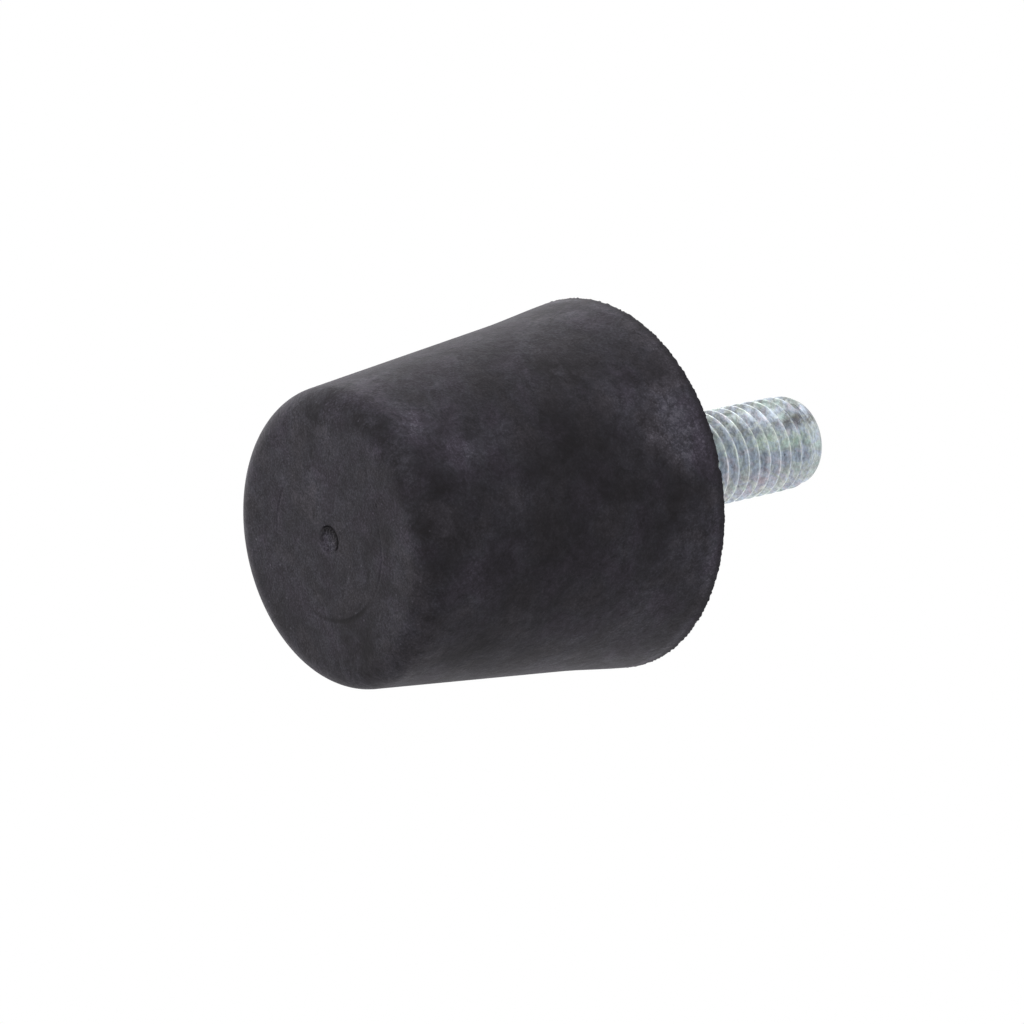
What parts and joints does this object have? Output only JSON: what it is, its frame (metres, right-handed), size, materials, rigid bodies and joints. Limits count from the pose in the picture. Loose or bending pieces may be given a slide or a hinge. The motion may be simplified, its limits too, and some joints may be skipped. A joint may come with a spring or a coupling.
{
  "type": "rubber foot",
  "caption": "Tapered rubber buffer foot bonded to a steel disc, with a threaded stud standing out of its wide end.",
  "frame": {"origin": "centre of the small foot face, which rests on the floor", "axes": "+Z along the part's axis from the foot face to the tip of the stud"},
  "size_m": [0.038, 0.038, 0.063],
  "materials": {
    "black_rubber": "moulded, matt with a powdery bloom",
    "zinc_plate": "bright zinc plate on a punched disc",
    "zinc_stud": "bright zinc plate on a rolled thread"
  },
  "bodies": {
    "root": {"rubber_body": "black_rubber", "steel_disc": "zinc_plate", "threaded_stud": "zinc_stud"}
  },
  "joints": []
}
